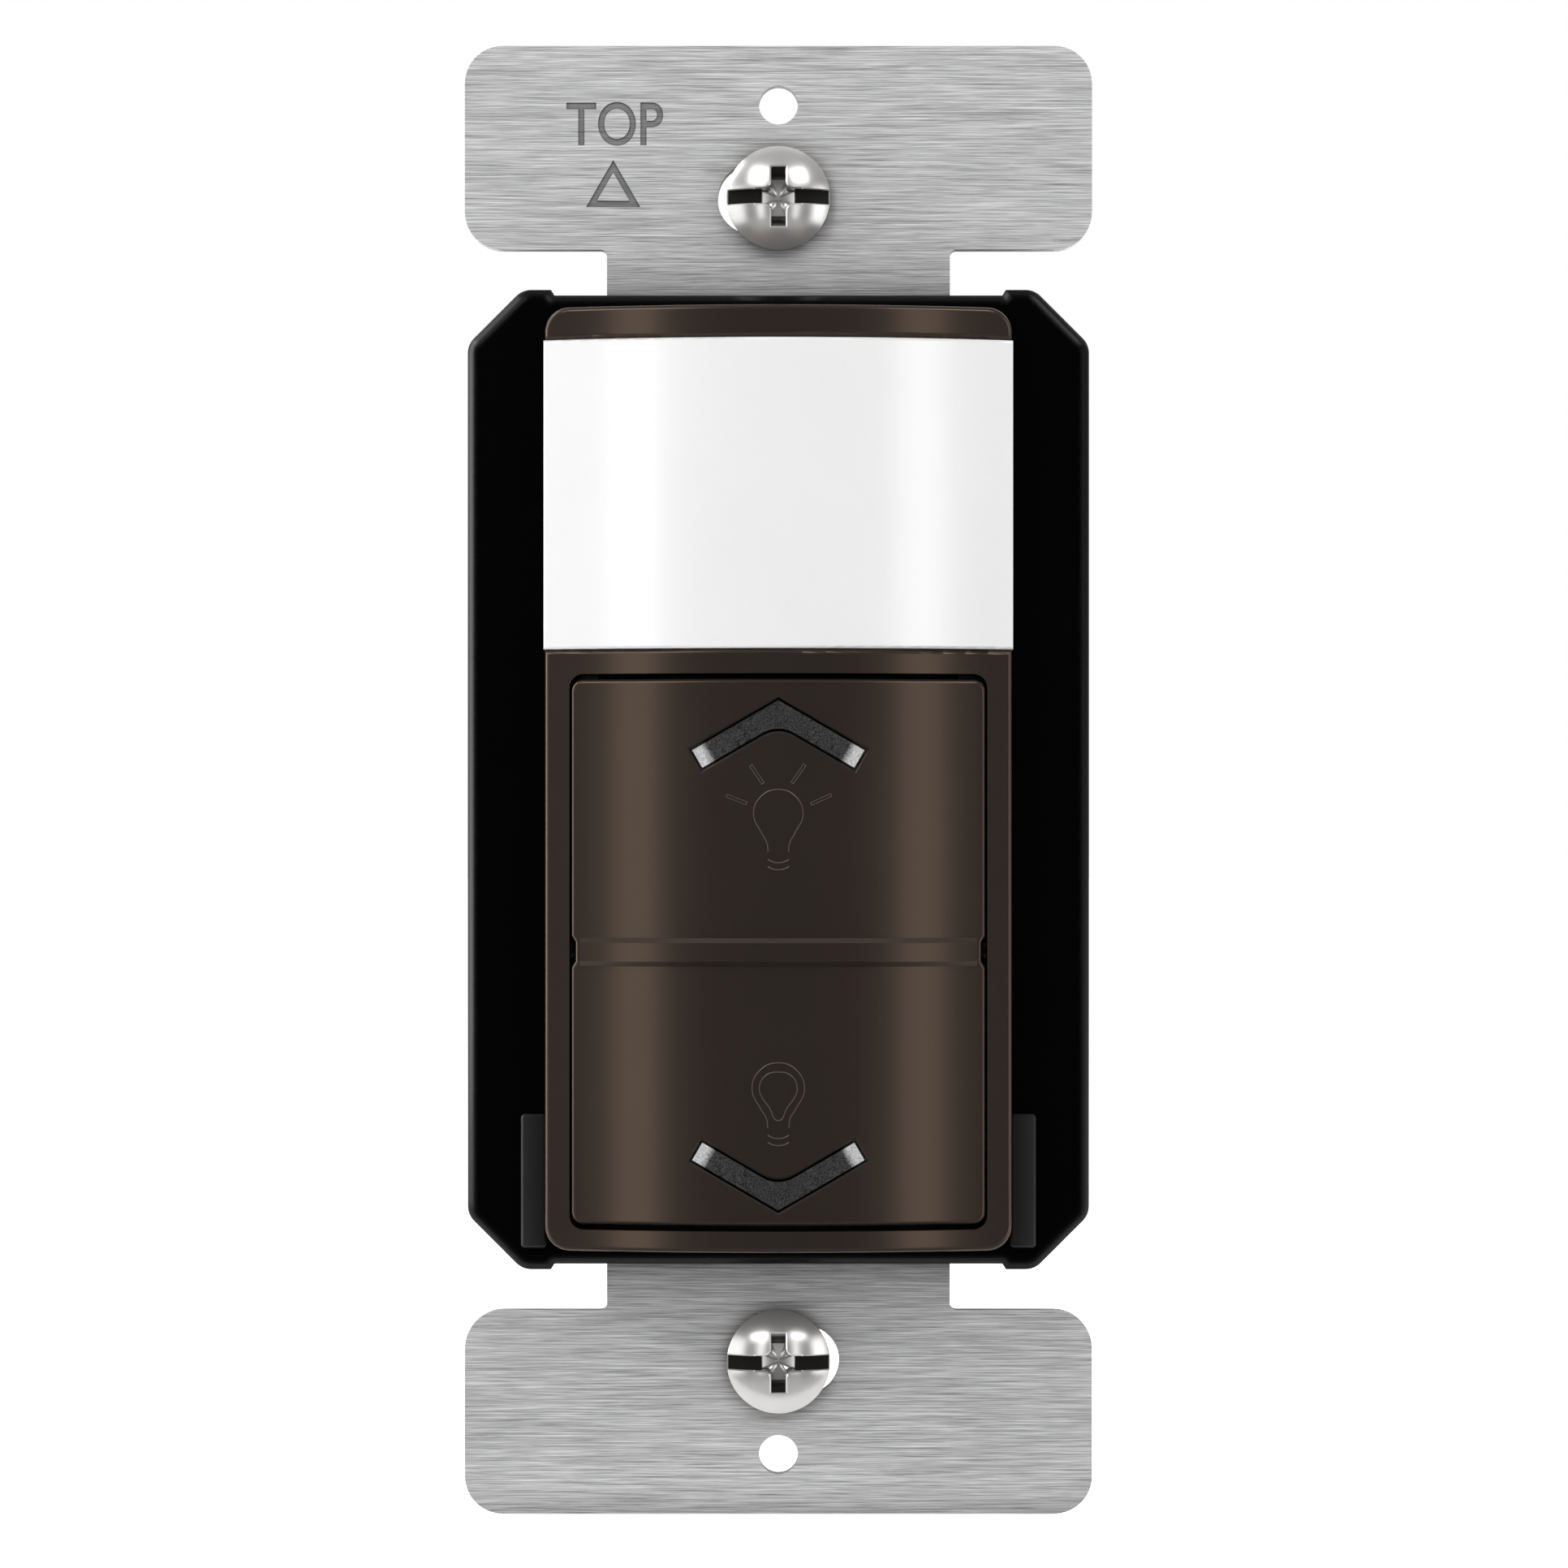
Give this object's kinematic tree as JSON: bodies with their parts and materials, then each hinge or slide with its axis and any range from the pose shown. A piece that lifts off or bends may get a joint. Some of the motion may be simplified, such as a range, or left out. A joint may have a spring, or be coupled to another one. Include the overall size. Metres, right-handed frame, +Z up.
{
  "type": "motion sensor dimmer switch",
  "caption": "Wall mounted motion sensor dimmer with a brown crowned face, a white sensor lens, an up and down paddle and a brushed steel strap.",
  "frame": {"origin": "midway between the two box screws, on the back plane of the mounting strap", "axes": "+X to the right seen from the room, +Y into the wall box, +Z up"},
  "size_m": [0.045, 0.0407, 0.1054],
  "materials": {
    "strap_steel": "brushed",
    "cover_black": "satin",
    "face_brown": "satin",
    "lens_white": "satin",
    "guide_grey": "satin",
    "latch_grey": "matt",
    "screw_nickel": "polished",
    "nylon": "matt",
    "housing_black": "matt",
    "case_steel": "zinc plated",
    "brass": "bright",
    "tinned": "tin plated",
    "ground_green": "dyed",
    "board_green": "solder mask",
    "part_black": "matt",
    "can_metal": "bright",
    "ferrite": "matt",
    "copper": "enamelled",
    "film_yellow": "gloss",
    "disc_blue": "gloss",
    "pad_grey": "matt"
  },
  "bodies": {
    "base": {"mounting_strap": "strap_steel", "front_cover": "cover_black", "bezel": "face_brown", "sensor_lens": "lens_white", "latch_left": "latch_grey", "latch_right": "latch_grey", "screw_retainer_top": "nylon", "screw_retainer_bottom": "nylon", "rear_housing": "housing_black", "case_screws": "case_steel", "line_terminal": "brass", "load_terminal": "brass", "neutral_terminal": "tinned", "line_screw": "brass", "load_screw": "brass", "neutral_screw": "tinned", "ground_screw": "ground_green", "front_board": "board_green", "board_screws": "case_steel", "pir_sensor": "can_metal", "sensor_shroud": "part_black", "switch_body_up": "part_black", "switch_body_down": "part_black", "led_up": "nylon", "led_down": "nylon", "power_board": "board_green", "board_header": "part_black", "choke_core": "ferrite", "choke_winding": "copper", "film_capacitor": "film_yellow", "electrolytic_capacitor": "part_black", "varistor": "disc_blue", "power_transistor": "part_black", "transistor_screw": "case_steel", "thermal_pad": "pad_grey"},
    "paddle": {"rocker": "face_brown", "chevron_up": "guide_grey", "chevron_down": "guide_grey"},
    "plunger_up": {"switch_plunger_up": "part_black"},
    "plunger_down": {"switch_plunger_down": "part_black"},
    "screw_top": {"mounting_screw_top": "screw_nickel"},
    "screw_bottom": {"mounting_screw_bottom": "screw_nickel"}
  },
  "joints": [
    {"name": "rocker_tilt", "type": "hinge", "parent": "base", "child": "paddle", "pos_m": [0, -0.00455, -0.0122], "axis": [-1, 0, 0], "range_deg": [-2.5, 2.5], "stiffness_Nm_per_rad": 0.4},
    {"name": "plunger_up_travel", "type": "slide", "parent": "base", "child": "plunger_up", "axis": [0, 1, 0], "range_m": [-0.00045, 0.00045]},
    {"name": "plunger_down_travel", "type": "slide", "parent": "base", "child": "plunger_down", "axis": [0, 1, 0], "range_m": [-0.00045, 0.00045]},
    {"name": "screw_top_turn", "type": "hinge", "parent": "base", "child": "screw_top", "pos_m": [0, 0, 0.04167], "axis": [0, 1, 0], "continuous": true},
    {"name": "screw_bottom_turn", "type": "hinge", "parent": "base", "child": "screw_bottom", "pos_m": [0, 0, -0.04167], "axis": [0, 1, 0], "continuous": true}
  ],
  "couplings": [
    {"joint": "plunger_up_travel", "follows": "rocker_tilt", "m_per_rad": 0.009},
    {"joint": "plunger_down_travel", "follows": "rocker_tilt", "m_per_rad": -0.009}
  ]
}
